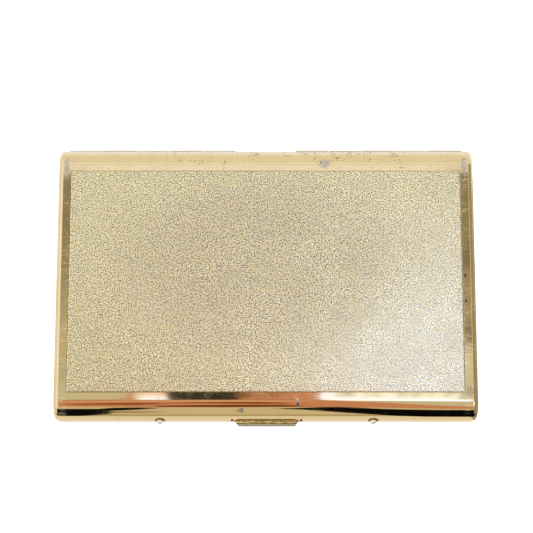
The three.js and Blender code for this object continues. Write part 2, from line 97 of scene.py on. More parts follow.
def mesh_object(name, points, faces):
    """An object from points in millimetres, with its faces turned outwards."""
    mesh = bpy.data.meshes.new(name)
    mesh.from_pydata([tuple(value * MM for value in point) for point in points], [], faces)
    shape = bmesh.new()
    shape.from_mesh(mesh)
    bmesh.ops.recalc_face_normals(shape, faces=shape.faces)
    shape.to_mesh(mesh)
    shape.free()
    return new_object(name, mesh)


def arc(centre, radius, start, sweep, steps):
    """Points on a circle, from a start angle through a sweep, both in degrees."""
    angles = [radians(start + sweep * step / steps) for step in range(steps + 1)]
    return [(centre[0] + radius * cos(angle), centre[1] + radius * sin(angle)) for angle in angles]


def block(name, low, high):
    """A box between two corners."""
    points = [(x, y, z) for x in (low[0], high[0]) for y in (low[1], high[1]) for z in (low[2], high[2])]
    faces = [(0, 1, 3, 2), (4, 6, 7, 5), (0, 4, 5, 1), (2, 3, 7, 6), (0, 2, 6, 4), (1, 5, 7, 3)]
    return mesh_object(name, points, faces)


def quads_between(first, second):
    """Faces that join two matching closed loops of point numbers."""
    return list(zip(first, first[1:] + first[:1], second[1:] + second[:1], second))


def prism(name, first, second):
    """A solid between two matching closed loops of points."""
    count = len(first)
    loops = [list(range(count)), list(range(count, 2 * count))]
    return mesh_object(name, first + second, loops + quads_between(*loops))


def bar_along_x(name, outline, x_low, x_high):
    """A closed (y, z) outline carried between two x values."""
    return prism(name, *([(x, y, z) for y, z in outline] for x in (x_low, x_high)))


def plate_along_z(name, outline, z_low, z_high):
    """A closed (x, y) outline carried between two heights."""
    return prism(name, *([(x, y, z) for x, y in outline] for z in (z_low, z_high)))


def round_plate(name, x_low, x_high, y_low, y_high, radius, z_low, z_high):
    """A rectangle with round corners, carried between two heights."""
    outline = []
    corners = ((x_high - radius, y_high - radius, 0), (x_low + radius, y_high - radius, 90),
               (x_low + radius, y_low + radius, 180), (x_high - radius, y_low + radius, 270))
    for x, y, start in corners:
        outline += arc((x, y), radius, start, 90, CORNER_STEPS)
    return plate_along_z(name, outline, z_low, z_high)


def turned(name, profile, centre, axis, steps=48):
    """A profile of (along, radius) points turned round an axis. Ends on the axis are closed to one point."""
    along = Vector(axis).normalized()
    side = along.orthogonal().normalized()
    other = along.cross(side)
    points, rings = [], []
    for distance, radius in profile:
        count = 1 if radius < 1e-6 else steps
        rings.append(list(range(len(points), len(points) + count)))
        middle = Vector(centre) + along * distance
        points += [middle + side * x + other * y for x, y in arc((0, 0), radius, 0, 360, steps)[:count]]
    closing = rings[:1] if len(rings[0]) > 1 else []
    faces = []
    for first, second in zip(rings, rings[1:] + closing):
        for step in range(steps):
            after = (step + 1) % steps
            corners = [first[step % len(first)], first[after % len(first)],
                       second[after % len(second)], second[step % len(second)]]
            faces.append(tuple(dict.fromkeys(corners)))
    return mesh_object(name, points, faces)


def settle(piece):
    """Turns a piece's modifiers into its mesh."""
    graph = bpy.context.evaluated_depsgraph_get()
    finished = bpy.data.meshes.new_from_object(piece.evaluated_get(graph))
    old = piece.data
    piece.modifiers.clear()
    piece.data = finished
    bpy.data.meshes.remove(old)
    return piece


def combine(piece, others, operation):
    """Cuts or joins other objects into a piece and removes them."""
    for other in others:
        modifier = piece.modifiers.new("combine", "BOOLEAN")
        modifier.operation = operation
        modifier.solver = "EXACT"
        modifier.object = other
    settle(piece)
    for other in others:
        bpy.data.objects.remove(other)
    return piece


def carve(piece, cutters):
    return combine(piece, cutters, "DIFFERENCE")


def weld(piece, others):
    return combine(piece, others, "UNION")


def bevel(piece, width, segments, angle):
    """A modifier that rounds every edge sharper than the angle, by a width in millimetres."""
    modifier = piece.modifiers.new("soften", "BEVEL")
    modifier.width = width * MM
    modifier.segments = segments
    modifier.limit_method = "ANGLE"
    modifier.angle_limit = radians(angle)
    modifier.use_clamp_overlap = True
    return modifier


def soften_edges(piece, width, segments=2, angle=40):
    """Rounds the edges in the piece's mesh."""
    bevel(piece, width, segments, angle)
    return settle(piece)


def round_edges(piece):
    """Slightly rounded edges, kept as a modifier, for a piece that keeps its CAD mesh."""
    bevel(piece, 0.05, 2, 30).harden_normals = True


def smooth(piece, angle=32):
    """Smooth shading that keeps sharp edges, with normals that follow the large faces."""
    piece.data.shade_smooth()
    piece.data.set_sharp_from_angle(angle=radians(angle))
    modifier = piece.modifiers.new("normals", "WEIGHTED_NORMAL")
    modifier.keep_sharp = True
    modifier.weight = 100
    return settle(piece)


# ---- Shells and trays ----


def half_section(front_gap, back_gap, flat_gap, rim):
    """(y, rise) points of a half section: up the front wall, round both corners and down the back wall."""
    front, back = front_gap - HALF_DEPTH, HALF_DEPTH - back_gap
    radius = EDGE_RADIUS - flat_gap
    points = [(front, rim)]
    for centre, start in ((front + radius, 180), (back - radius, 90)):
        points += arc((centre, HALF_HEIGHT - EDGE_RADIUS), radius, start, -90, ARC_STEPS)
    return points + [(back, rim)]


def half_skin(end_gap, front_gap, back_gap, flat_gap, end_radius, rim, end_steps=12):
    """Rings of (x, y, rise) points from one end to the other, at gaps inside the outer faces of the case,
    and drawn in towards the rounded ends."""
    stations = arc((end_radius + end_gap - HALF_LENGTH, end_radius), end_radius, 180, 90, end_steps)
    stations += [(-x, inset) for x, inset in reversed(stations)]
    rings = []
    for x, inset in stations:
        section = half_section(front_gap + inset, back_gap + inset, flat_gap + inset, rim)
        rings.append([(x, y, rise) for y, rise in section])
    return rings


def half_shell(name, outer, inner, up):
    """A closed sheet shell between an outer and an inner skin. up is 1 for a lid and -1 for a base."""
    points = [(x, y, PARTING_Z + up * rise) for ring in outer + inner for x, y, rise in ring]
    skins = np.arange(len(points)).reshape(2, len(outer), len(outer[0])).tolist()
    faces = []
    for rings in skins:
        for ring, following in zip(rings, rings[1:]):
            faces += zip(ring, following, following[1:], ring[1:])
        faces += [rings[0], rings[-1]]
    for place in (0, -1):
        first, second = ([ring[place] for ring in rings] for rings in skins)
        faces += zip(first, first[1:], second[1:], second)
        first, second = (rings[place] for rings in skins)
        faces.append((first[0], first[-1], second[-1], second[0]))
    return mesh_object(name, points, faces)


def between_rises(up, low, high):
    """Two heights, lower first, from rises above (up 1) or below (up -1) the parting plane."""
    return sorted((PARTING_Z + up * low, PARTING_Z + up * high))


def panel_pocket(up):
    """What is cut out of a shell to seat its panel."""
    seat = PANEL_HIGH.z - PANEL_LOW.z - PANEL_PROUD + 0.01
    low, high = between_rises(up, HALF_HEIGHT - seat, HALF_HEIGHT + 1)
    x, y = PANEL_HIGH.x + PANEL_EDGE_GAP, PANEL_HIGH.y + PANEL_EDGE_GAP
    return block("cutter", (-x, -y, low), (x, y, high))


HINGE_CUT_RISE = 0.75
HINGE_CUT_ROOM = 0.2


def hinge_cuts():
    """The two gaps in a back wall that the knuckles stand in."""
    cuts = []
    for side in ("left", "right"):
        low, high = box_mm("hinge_base_" + side)
        inner_y = HALF_DEPTH - SHEET - HINGE_CUT_ROOM
        cuts.append(block("cutter", (low.x - HINGE_CUT_ROOM, inner_y, PARTING_Z - HINGE_CUT_RISE),
                          (high.x + HINGE_CUT_ROOM, HALF_DEPTH + 1, PARTING_Z + HINGE_CUT_RISE)))
    return cuts


BACK_THINNING = 0.12
SHELL_SOFTNESS = 0.05
FLAT_KEEPING_ANGLE = 12


def latch_slot():
    """What is cut out of the lid's front wall for the button."""
    return block("cutter", (LATCH_X - SLOT_HALF, -HALF_DEPTH - 1, PARTING_Z - 1),
                 (LATCH_X + SLOT_HALF, -HALF_DEPTH + SHEET + 0.2, SLOT_TOP))


def make_shell(name, up, *cuts):
    """One half of the case. Its back wall is thinned outside so that the knuckles show past the edge."""
    outer = half_skin(0, 0, BACK_THINNING, 0, END_RADIUS, RIM_GAP)
    inner = half_skin(SHEET, SHEET, SHEET, SHEET, END_RADIUS - SHEET, RIM_GAP)
    shell = carve(half_shell(name, outer, inner, up), [panel_pocket(up), *hinge_cuts(), *cuts])
    return smooth(soften_edges(shell, SHELL_SOFTNESS), FLAT_KEEPING_ANGLE)


LINER_THICKNESS = 0.3
LINER_LIP = 1.2
LINER_SOFTNESS = 0.06
LID_LINER_START = 2.6
STRIP_HALF = 27
LATCH_ROOMS = ((STRIP_HALF + 1, 0.3), (BUTTON_HALF + 0.8, 2.6))


def tray(name, gaps, rim, up):
    """A thin tray inside a shell, at gaps from its end, front, back and flat inner faces."""
    skins = []
    for inset, end_radius in ((0, 0.8), (LINER_THICKNESS, 0.5)):
        skins.append(half_skin(*(SHEET + gap + inset for gap in gaps), end_radius, rim, 6))
    return half_shell(name, *skins, up)


def make_base_liner():
    """The base tray, cut away in front for the latch: wide and shallow, then narrow and deep."""
    liner = tray("base_liner_skin", (0.35, 0.35, 0.65, 0.1), -LINER_LIP, -1)
    front = -HALF_DEPTH + SHEET
    rooms = [block("cutter", (LATCH_X - half, front - 1, PARTING_Z - depth),
                   (LATCH_X + half, front + 3, PARTING_Z + 5)) for half, depth in LATCH_ROOMS]
    return smooth(soften_edges(carve(liner, rooms), LINER_SOFTNESS))


def make_lid_liner():
    liner = tray("lid_liner_skin", (0.1, 0.1, 0.1, 0.1), LID_LINER_START, 1)
    return smooth(soften_edges(liner, LINER_SOFTNESS))


# ---- Stippled panels ----

STIPPLE_SPACING = 0.19
STIPPLE_HEIGHT = 0.024
PANEL_BEVEL = 0.06


def stipple(rows, columns, seed):
    """A random height field, -1 to 1, with grains of two sizes."""
    random = np.random.RandomState(seed)

    def grains(passes):
        field = random.standard_normal((rows, columns))
        for _ in range(passes):
            for axis in (0, 1):
                field = (np.roll(field, 1, axis) + 2 * field + np.roll(field, -1, axis)) / 4
        return field / field.std()

    field = 0.8 * grains(1) + 0.45 * grains(4)
    return np.clip(field / 2.4, -1, 1)


def make_panel(name, up, seed):
    """A thin plate whose outer face is a fine hammered grid, with a smooth bevelled rim."""
    half_x, half_y = PANEL_HIGH.x + PANEL_EDGE_GAP / 2, PANEL_HIGH.y + PANEL_EDGE_GAP / 2
    columns = int(2 * half_x / STIPPLE_SPACING)
    rows = int(2 * half_y / STIPPLE_SPACING)
    inner_x, inner_y = half_x - PANEL_BEVEL, half_y - PANEL_BEVEL
    face_rise = HALF_HEIGHT + PANEL_PROUD - STIPPLE_HEIGHT
    heights = face_rise + STIPPLE_HEIGHT * stipple(rows, columns, seed)
    heights[[0, -1], :] = face_rise
    heights[:, [0, -1]] = face_rise
    grid = np.meshgrid(np.linspace(-inner_x, inner_x, columns), np.linspace(-inner_y, inner_y, rows))
    points = np.dstack([*grid, heights]).reshape(-1, 3).tolist()
    lines = np.arange(rows * columns).reshape(rows, columns).tolist()
    faces = []
    for line, following in zip(lines, lines[1:]):
        faces += zip(line, line[1:], following[1:], following)
    edge = [*lines[0][:-1], *(line[-1] for line in lines[:-1]),
            *lines[-1][:0:-1], *(line[0] for line in lines[:0:-1])]
    bottom_rise = HALF_HEIGHT + PANEL_PROUD - (PANEL_HIGH.z - PANEL_LOW.z)
    loops = [edge]
    for rise in (face_rise - PANEL_BEVEL, bottom_rise):
        loops.append(list(range(len(points), len(points) + len(edge))))
        points += [[points[place][0] * half_x / inner_x, points[place][1] * half_y / inner_y, rise]
                   for place in edge]
        faces += quads_between(*loops[-2:])
    faces.append(loops[-1])
    panel = mesh_object(name, [(x, y, PARTING_Z + up * rise) for x, y, rise in points], faces)
    panel.data.shade_smooth()
    panel.data.set_sharp_from_angle(angle=radians(50))
    return panel


# ---- Hinges ----

KNUCKLES = 5
KNUCKLE_PITCH = 7.8
KNUCKLE_GAP = 0.1
KNUCKLE_BORE = 0.28
KNUCKLE_SOFTNESS = 0.09
LEAF_THICKNESS = 0.28
LEAF_GAP = 0.08
WEB_REACH = 0.36
STRIP_RISES = (0.85, 1.9)
TONGUE_RISES = (0.2, 1.0)
WEB_RISES = (0.2, 0.48)


def leaf_block(name, up, x_range, y_range, rises):
    """A block between two rises from the parting plane."""
    return block(name, *zip(x_range, y_range, between_rises(up, *rises)))


def make_knuckle(x_low, x_high, radius):
    """A tube with softened ends round the hinge axis."""
    soft, softer = KNUCKLE_SOFTNESS, KNUCKLE_SOFTNESS * 0.3
    end = [(0, KNUCKLE_BORE), (0, radius - soft), (softer, radius - softer), (soft, radius)]
    profile = [(x_low + along, across) for along, across in end]
    profile += [(x_high - along, across) for along, across in reversed(end)]
    return turned("tube", profile, (0, HINGE_Y, PARTING_Z), ALONG_X, 40)


def make_leaf(body, side, up, first_knuckle):
    """A strip inside the back wall, and every second knuckle on its own tongue and web."""
    outer_y = HALF_DEPTH - SHEET - LEAF_GAP
    inner_y = outer_y - LEAF_THICKNESS
    node = f"hinge_{body}_{side}"
    radius = box_mm(node)[1].y - HINGE_Y
    start = min(box_mm("hinge_base_" + side)[0].x, box_mm("hinge_lid_" + side)[0].x)
    length = (start, start + KNUCKLES * KNUCKLE_PITCH)
    leaf = soften_edges(leaf_block(node + "_rolled", up, length, (inner_y, outer_y), STRIP_RISES), 0.05)
    parts = []
    for number in range(first_knuckle, KNUCKLES, 2):
        x_low = start + number * KNUCKLE_PITCH + KNUCKLE_GAP / 2
        width = (x_low, x_low + KNUCKLE_PITCH - KNUCKLE_GAP)
        tongue = leaf_block("tongue", up, width, (inner_y, outer_y), TONGUE_RISES)
        web = leaf_block("web", up, width, (inner_y, HINGE_Y - WEB_REACH), WEB_RISES)
        parts.append(weld(weld(tongue, [web]), [make_knuckle(*width, radius)]))
    return smooth(weld(leaf, parts), 38)


def make_pin(name, node, radius):
    """A round pin with domed ends, in the place of a CAD pin that runs along X."""
    low, high = box_mm(node)
    dome = radius * 0.35
    profile = [(low.x, 0), (low.x + dome * 0.1, radius * 0.6), (low.x + dome, radius),
               (high.x - dome, radius), (high.x - dome * 0.1, radius * 0.6), (high.x, 0)]
    centre = (low + high) / 2
    return smooth(turned(name, profile, (0, centre.y, centre.z), ALONG_X, 32), 50)


# ---- Latch ----

HOOK_HALF = 4
BUTTON_TAPER = 0.75
BUTTON_CORNER = 0.28
BUTTON_SOFTNESS = 0.34


def button_outline():
    """Trapezoid with small round corners: wide at the wall, narrower at the tip, straight behind the wall."""
    corner = (BUTTON_HALF - BUTTON_TAPER - BUTTON_CORNER, BUTTON_LOW.y + BUTTON_CORNER)
    right = [(BUTTON_HALF, BUTTON_HIGH.y), (BUTTON_HALF, -HALF_DEPTH - 0.1)]
    right += arc(corner, BUTTON_CORNER, 0, -90, CORNER_STEPS)
    left = [(-x, y) for x, y in reversed(right)]
    return [(LATCH_X + x, y) for x, y in right + left]


def make_button():
    """The thumb tab, with the leg and nose behind it that catch under the keeper."""
    tab = plate_along_z("latch_button_worn", button_outline(), PARTING_Z + 0.1, BUTTON_HIGH.z)
    soften_edges(tab, BUTTON_SOFTNESS, 5, 60)
    front, back = BUTTON_HIGH.y - 0.35, BUTTON_HIGH.y - 0.04
    nose = front - 0.33
    top = BUTTON_HIGH.z - 0.3
    catch = PARTING_Z - 0.98
    bottom = catch - 0.62
    outline = [(front, top), (front, catch), (nose, catch), (nose, catch - 0.15),
               (front, bottom), (back, bottom), (back, top)]
    hook = soften_edges(bar_along_x("hook", outline, LATCH_X - HOOK_HALF, LATCH_X + HOOK_HALF), 0.05)
    return smooth(weld(tab, [hook]), 45)


SPRING_STEPS = 28
NOTCH_STEPS = 10


def make_latch_spring(side):
    """Half of the flat spring strip, from its riveted end to the middle. side is -1 left or 1 right."""
    low, high = box_mm("latch_spring")
    across = [STRIP_HALF - (STRIP_HALF - SLOT_HALF) * step / SPRING_STEPS for step in range(SPRING_STEPS + 1)]
    across += [SLOT_HALF * (1 - step / NOTCH_STEPS) for step in range(1, NOTCH_STEPS + 1)]
    points, loops = [], []
    for place, distance in enumerate(across):
        x = LATCH_X + side * distance
        bottom = low.z if place <= SPRING_STEPS else SLOT_TOP
        end_round = 0.5 if place == 0 else 0
        loops.append(list(range(4 * place, 4 * place + 4)))
        points += [(x, low.y, bottom + end_round), (x, high.y, bottom + end_round),
                   (x, high.y, high.z - end_round), (x, low.y, high.z - end_round)]
    faces = [loops[0], loops[-1]]
    for first, second in zip(loops, loops[1:]):
        faces += quads_between(first, second)
    name = "latch_spring_left_half" if side < 0 else "latch_spring_right_half"
    return smooth(mesh_object(name, points, faces), 30)


RIVET_RISE = 1.5
RIVET_HEAD_RADIUS = 1.22
RIVET_HEAD_HEIGHT = 0.78
RIVET_TILT = radians(7)
RIVET_SHANK = 0.45


def make_latch_rivet(name, x):
    """A domed head lying against the start of the roll, a shank, and a peened tail behind the strip."""
    sphere = (RIVET_HEAD_RADIUS ** 2 + RIVET_HEAD_HEIGHT ** 2) / (2 * RIVET_HEAD_HEIGHT)
    half_angle = degrees(asin(RIVET_HEAD_RADIUS / sphere))
    tail = -(box_mm("latch_spring")[1].y + HALF_DEPTH) - 0.01
    profile = [(tail - 0.24, 0), (tail - 0.22, 0.4), (tail - 0.1, 0.52), (tail, 0.55)]
    profile += [(tail, RIVET_SHANK), (-0.12, RIVET_SHANK), (-0.12, RIVET_HEAD_RADIUS - 0.06)]
    profile += arc((RIVET_HEAD_HEIGHT - sphere, 0), sphere, half_angle, -half_angle, 18)
    axis = (0, -cos(RIVET_TILT), sin(RIVET_TILT))
    return smooth(turned(name, profile, (x, -HALF_DEPTH, PARTING_Z + RIVET_RISE), axis), 50)


# ---- Card arm ----

ARM_LOW, ARM_HIGH = box_mm("card_arm")
PIN_LOW, PIN_HIGH = box_mm("arm_pin")
PIN_CENTRE = (PIN_LOW + PIN_HIGH) / 2
ARM_SHEET = 0.4
ARM_BEND_Y = 21.8
ARM_WINDOW_BACK = 19.4
LUG_START = 8.4
LUG_RADIUS, LUG_BORE = 0.75, 0.45


def arm_tube(name, x_low, x_high, bore, radius):
    """A tube round the arm's pin, or a rod where the bore is 0."""
    profile = [(x_low, bore), (x_low, radius), (x_high, radius), (x_high, bore)]
    return turned(name, profile, (0, PIN_CENTRE.y, PIN_CENTRE.z), ALONG_X, 40)


def make_card_arm():
    """A sheet frame with round corners: two rolled lugs, a web, two legs and a turned-up tip."""
    rest, half, tip = ARM_LOW.z, ARM_HIGH.x, ARM_LOW.y
    pin_y, pin_z = PIN_CENTRE.y, PIN_CENTRE.z
    under = [(pin_y - 0.35, pin_z - 0.3), (ARM_BEND_Y, rest), (tip + 1.9, rest),
             (tip + 1.2, rest + 0.1), (tip, rest + 0.6)]
    over = [(tip, rest + 1.0), (tip + 1.2, rest + 0.52), (tip + 1.9, rest + ARM_SHEET),
            (ARM_BEND_Y + 0.1, rest + ARM_SHEET), (pin_y - 0.35, pin_z + 0.15)]
    sheet = bar_along_x("card_arm_frame", under + over, -half, half)
    window = round_plate("window", -half + 2.6, half - 2.6, tip + 5, ARM_WINDOW_BACK, 1.2, 0, 10)
    spring_room = block("room", (-LUG_START, pin_y - 2.2, 0), (LUG_START, 40, 20))
    carve(sheet, [window, spring_room])
    combine(sheet, [round_plate("outer", -half, half, tip, 40, 1.6, 0, 10)], "INTERSECT")
    lug_ends = ((-half, -LUG_START), (LUG_START, half))
    weld(sheet, [arm_tube("lug", *ends, LUG_BORE, LUG_RADIUS) for ends in lug_ends])
    carve(sheet, [arm_tube("bore", -half - 1, half + 1, 0, LUG_BORE)])
    return smooth(soften_edges(sheet, 0.07, 2, 50), 35)


def make_arm_spring():
    """A torsion spring of round wire on the arm's pin, as one smooth curve."""
    coil, wire, turns, pitch, steps = 0.72, 0.14, 5, 0.42, 16
    half_width = turns * pitch / 2
    tail_z = ARM_LOW.z + ARM_SHEET + wire + 0.08
    tail_x = -half_width - 0.1
    points = [(tail_x, PIN_CENTRE.y - 4.3, tail_z), (tail_x, PIN_CENTRE.y - 2.4, PIN_CENTRE.z + 0.12)]
    for step in range(turns * steps + 1):
        angle = pi / 2 - 2 * pi * step / steps
        points.append((-half_width + pitch * step / steps,
                       PIN_CENTRE.y + coil * cos(angle), PIN_CENTRE.z + coil * sin(angle)))
    curve = bpy.data.curves.new("arm_spring_wire", "CURVE")
    curve.dimensions = "3D"
    curve.bevel_depth = wire * MM
    curve.bevel_resolution = 3
    curve.use_fill_caps = True
    spline = curve.splines.new("POLY")
    spline.points.add(len(points) - 1)
    for point, place in zip(spline.points, points):
        point.co = (*(value * MM for value in place), 1)
    return new_object("arm_spring_wire", curve)


# ---- Materials ----


class Graph:
    """Short names for building a node tree."""

    def __init__(self, tree):
        self.tree = tree

    def link(self, source, target):
        self.tree.links.new(source, target)

    def put(self, socket, value):
        """Sets a socket to a constant, or links it to another node's output."""
        if isinstance(value, bpy.types.NodeSocket):
            self.link(value, socket)
        else:
            socket.default_value = value

    def add(self, kind, **inputs):
        """A new node with its named inputs put in. An underscore stands for a space."""
        node = self.tree.nodes.new(kind)
        for name, value in inputs.items():
            self.put(node.inputs[name.replace("_", " ")], value)
        return node

    def math(self, operation, first, second=0.0, clamp=False):
        node = self.add("ShaderNodeMath")
        node.operation = operation
        node.use_clamp = clamp
        self.put(node.inputs[0], first)
        self.put(node.inputs[1], second)
        return node.outputs[0]

    def times(self, first, second):
        return self.math("MULTIPLY", first, second)

    def steps(self, value, low, high, out_low=0.0, out_high=1.0):
        """A value carried smoothly from one range to another."""
        node = self.add("ShaderNodeMapRange", Value=value, From_Min=low, From_Max=high,
                        To_Min=out_low, To_Max=out_high)
        node.interpolation_type = "SMOOTHSTEP"
        return node.outputs[0]

    def blend(self, amount, first, second):
        node = self.add("ShaderNodeMix")
        node.data_type = "RGBA"
        for index, value in ((0, amount), (6, first), (7, second)):
            self.put(node.inputs[index], value)
        return node.outputs[2]


class Nodes(Graph):
    """A material's node tree, round one Principled shader."""

    def __init__(self, name):
        self.material = bpy.data.materials.new(name)
        self.material.use_nodes = True
        super().__init__(self.material.node_tree)
        self.tree.nodes.clear()
        self.output = self.add("ShaderNodeOutputMaterial")
        self.shader = self.add("ShaderNodeBsdfPrincipled")
        self.link(self.shader.outputs[0], self.output.inputs[0])
        self.where = self.add("ShaderNodeTexCoord").outputs["Object"]

    def noise(self, size_mm, detail=2.0, stretch=(1, 1, 1)):
        """Noise with features of a size in millimetres, longer along an axis whose stretch is above 1."""
        shrink = tuple(1 / value for value in stretch)
        place = self.add("ShaderNodeMapping", Vector=self.where, Scale=shrink).outputs[0]
        scale = 1 / (size_mm * MM)
        return self.add("ShaderNodeTexNoise", Vector=place, Scale=scale, Detail=detail).outputs[0]

    def axis(self, index):
        """One coordinate of the place on the object, in millimetres."""
        return self.times(self.add("ShaderNodeSeparateXYZ", Vector=self.where).outputs[index], 1000)

    def spot(self, centre, radii, ragged=0.35, size_mm=0.5, soft=0.25):
        """1 inside a ragged ellipsoid at a place in millimetres, falling softly to 0 outside it."""
        total = self.times(self.math("SUBTRACT", self.noise(size_mm, 3), 0.5), ragged * 12)
        for index in range(3):
            scaled = self.math("DIVIDE", self.math("SUBTRACT", self.axis(index), centre[index]), radii[index])
            total = self.math("ADD", total, self.times(scaled, scaled))
        return self.steps(total, 1 - soft, 1 + soft, 1, 0)

    def bump(self, height, distance_mm, strength, below=None):
        node = self.add("ShaderNodeBump", Height=height, Distance=distance_mm * MM, Strength=strength)
        if below is not None:
            self.link(below, node.inputs["Normal"])
        return node.outputs[0]

    def crevice_shade(self, distance_mm):
        """Mask for painted shade in gaps: 1 in the open, falling to 0 deep inside gaps of about a distance.
        """
        node = self.add("ShaderNodeAmbientOcclusion", Distance=distance_mm * MM)
        node.samples = 4
        return self.steps(node.outputs["AO"], 0.05, 0.55)

    def glow(self, colour):
        """Makes the material glow with a colour and nothing else."""
        node = self.add("ShaderNodeEmission", Color=colour)
        self.tree.nodes.remove(self.shader)
        self.link(node.outputs[0], self.output.inputs[0])
        return self.material

    def finish(self, colour, roughness, normal=None, metallic=1.0):
        for name, value in (("Base Color", colour), ("Roughness", roughness), ("Metallic", metallic)):
            self.put(self.shader.inputs[name], value)
        if normal is not None:
            self.link(normal, self.shader.inputs["Normal"])
        return self.material


def rgb(red, green, blue):
    return (red, green, blue, 1.0)


GOLD = rgb(0.87, 0.725, 0.47)
GOLD_DEEP = rgb(0.80, 0.62, 0.36)
BARE_METAL = rgb(0.44, 0.45, 0.48)
TARNISH = rgb(0.12, 0.09, 0.06)
PIT_BROWN = rgb(0.30, 0.20, 0.08)
# Painted shadow for the corners of the button's slot.
SLOT_SHADOW = rgb(0.05, 0.032, 0.012)
SLOT_CORNER = 7.8
# Marks of wear in millimetres: centre, radii and, on the dark ones, how dark they are.
WORN_SPOTS = (
    ((13.6, 27.6, 11.0), (1.2, 1.0, 1.5)),
    ((-5.6, -29.9, 10.3), (0.85, 0.5, 0.6)),
    ((7.2, -28.2, 10.8), (0.4, 0.9, 0.5)),
    ((-46.1, 26.9, 10.8), (0.6, 2.3, 0.9)),
    ((46.0, 27.3, 10.8), (0.65, 2.4, 0.9)),
    ((-33.5, -31.6, 8.4), (0.5, 0.4, 0.4)),
)
DARK_SPOTS = (
    ((45.6, 1.0, 10.9), (0.32, 0.45, 0.5), 0.75),
    ((45.6, -4.8, 10.9), (0.32, 0.4, 0.5), 0.75),
    ((7.2, -28.6, 10.8), (0.25, 0.5, 0.5), 0.75),
    ((45.9, 25.0, 10.9), (0.9, 0.9, 0.5), 0.35),
    ((46.0, -25.6, 10.9), (0.9, 1.1, 0.5), 0.3),
)


def back_pits(n, x, y):
    """Small pits along the back edge, most of them behind the middle."""
    middle = n.times(n.steps(x, -32, -22), n.steps(x, 30, 38, 1, 0))
    region = n.times(n.steps(y, 24.5, 28.5), n.math("ADD", n.times(middle, 0.9), 0.25))
    patches = n.times(n.math("SUBTRACT", n.noise(3.2, 2), 0.5), 0.55)
    chance = n.math("ADD", n.noise(0.42, 2), patches)
    return n.times(n.steps(chance, 0.63, 0.71), region)


def rubbed_patches(n):
    """Places where the plating is worn through in small specks."""
    rubbed = 0.0
    for centre, radii in WORN_SPOTS:
        rubbed = n.math("MAXIMUM", rubbed, n.spot(centre, radii))
    return n.times(rubbed, n.steps(n.noise(0.34, 2), 0.34, 0.56, 0.35, 0.8))


def side_scratches(n, x):
    """Fine scratches across the flat strips beside the panel."""
    side = n.steps(n.math("ABSOLUTE", x), PANEL_HIGH.x - 0.2, PANEL_HIGH.x + 0.3)
    many = n.steps(n.noise(5, 2), 0.36, 0.58)
    return n.times(n.times(side, many), n.steps(n.noise(0.28, 3, stretch=(7, 1, 1)), 0.50, 0.66))


def slot_corner_shadow(n):
    """Painted shadow in the two corners of the button's slot, where they open dark beside the tab."""
    dirt_and_shade = 0.0
    for side in (-1, 1):
        centre = (LATCH_X + side * SLOT_CORNER, -HALF_DEPTH, PARTING_Z + 0.8)
        dirt_and_shade = n.math("ADD", dirt_and_shade, n.spot(centre, (0.36, 2, 1.7), 0.1))
    return dirt_and_shade


def wear(n, colour, roughness, normal):
    """Adds pits, rubbed patches, dark spots and scratches to the polished plate, and painted shadow in the
    corners of the button's slot.
    """
    x, y = n.axis(0), n.axis(1)
    pits, rubbed, dirt_and_shade = back_pits(n, x, y), rubbed_patches(n), slot_corner_shadow(n)
    colour = n.blend(rubbed, colour, BARE_METAL)
    colour = n.blend(n.times(pits, 0.85), colour, PIT_BROWN)
    for centre, radii, amount in DARK_SPOTS:
        colour = n.blend(n.times(n.spot(centre, radii), amount), colour, TARNISH)
    # Painted shadow in the slot's corners: dark, matt and without shine.
    colour = n.blend(dirt_and_shade, colour, SLOT_SHADOW)
    for mark, amount in ((dirt_and_shade, 1.0), (rubbed, 0.38), (pits, 0.45)):
        roughness = n.math("MAXIMUM", roughness, n.times(mark, amount))
    open_metal = n.math("SUBTRACT", 1.0, dirt_and_shade, True)
    n.put(n.shader.inputs["Specular IOR Level"], n.times(open_metal, 0.5))
    metallic = n.math("SUBTRACT", open_metal, n.times(side_scratches(n, x), 0.22), True)
    return colour, roughness, metallic, n.bump(n.times(pits, -1.0), 0.02, 0.8, normal)


def polished_gold(name, worn):
    """Bright plate with faint waves and hairlines, the marks of wear where it is worn, and painted shade in
    its gaps.
    """
    n = Nodes(name)
    colour = n.blend(n.steps(n.noise(9, 3), 0.35, 0.7), GOLD, GOLD_DEEP)
    colour = n.blend(0.75, colour, GOLD)
    hairlines = n.steps(n.noise(0.11, 2, stretch=(14, 1, 1)), 0.60, 0.78)
    cross_lines = n.steps(n.noise(0.10, 2, stretch=(1, 9, 3)), 0.64, 0.8)
    cloud = n.steps(n.noise(3, 4), 0.45, 0.75)
    roughness = n.math("ADD", 0.04, n.times(cloud, 0.03))
    roughness = n.math("ADD", roughness, n.times(hairlines, 0.03))
    wave = n.bump(n.noise(16, 1, stretch=(2.5, 1, 1)), 0.02, 0.35)
    normal = n.bump(n.math("ADD", hairlines, cross_lines), 0.0006, 0.3, wave)
    metallic = 1.0
    if worn:
        colour, roughness, metallic, normal = wear(n, colour, roughness, normal)
    # Painted shade: dark brown deep in gaps and corners.
    colour = n.blend(n.crevice_shade(0.8), rgb(0.16, 0.10, 0.04), colour)
    return n.finish(colour, roughness, normal, metallic)


